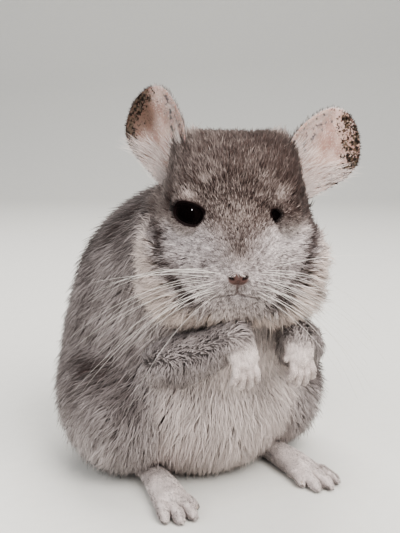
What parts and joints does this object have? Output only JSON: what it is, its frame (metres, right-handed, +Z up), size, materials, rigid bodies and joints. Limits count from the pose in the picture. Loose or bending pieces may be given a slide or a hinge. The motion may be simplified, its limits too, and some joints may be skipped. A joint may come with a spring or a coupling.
{
  "type": "chinchilla",
  "caption": "Life-size grey long-tailed chinchilla sitting up on its haunches, forepaws held at the chest, head turned aside, large round ears, bushy tail laid round its side.",
  "frame": {"origin": "middle of the seat, the flat patch where the coat of the rump rests on the floor", "axes": "+Z up, away from the floor; the body faces -Y; the animal's left side is at +X"},
  "size_m": [0.1728, 0.2148, 0.1827],
  "materials": {
    "grey_coat": "dense soft grey fur, ticked dark and silver, cream on chin and belly",
    "pale_coat": "very short cream-white fur over pink skin, small horn-coloured claws",
    "ear_skin": "thin pink-beige skin with fine pale hairs and dark mottling along the rim",
    "eye": "wet, glossy, near-black eye",
    "tail_coat": "long coarse hair, dark grey above, paler at the sides"
  },
  "bodies": {
    "root": {"torso": "grey_coat", "neck": "grey_coat", "head": "grey_coat", "haunch_left": "grey_coat", "haunch_right": "grey_coat", "foreleg_left": "grey_coat", "foreleg_right": "grey_coat", "forepaw_left": "pale_coat", "forepaw_right": "pale_coat", "hind_foot_left": "pale_coat", "hind_foot_right": "pale_coat", "ear_left": "ear_skin", "ear_right": "ear_skin", "eye_left": "eye", "eye_right": "eye", "tail_root": "tail_coat", "tail_middle": "tail_coat", "tail_end": "tail_coat"}
  },
  "joints": []
}
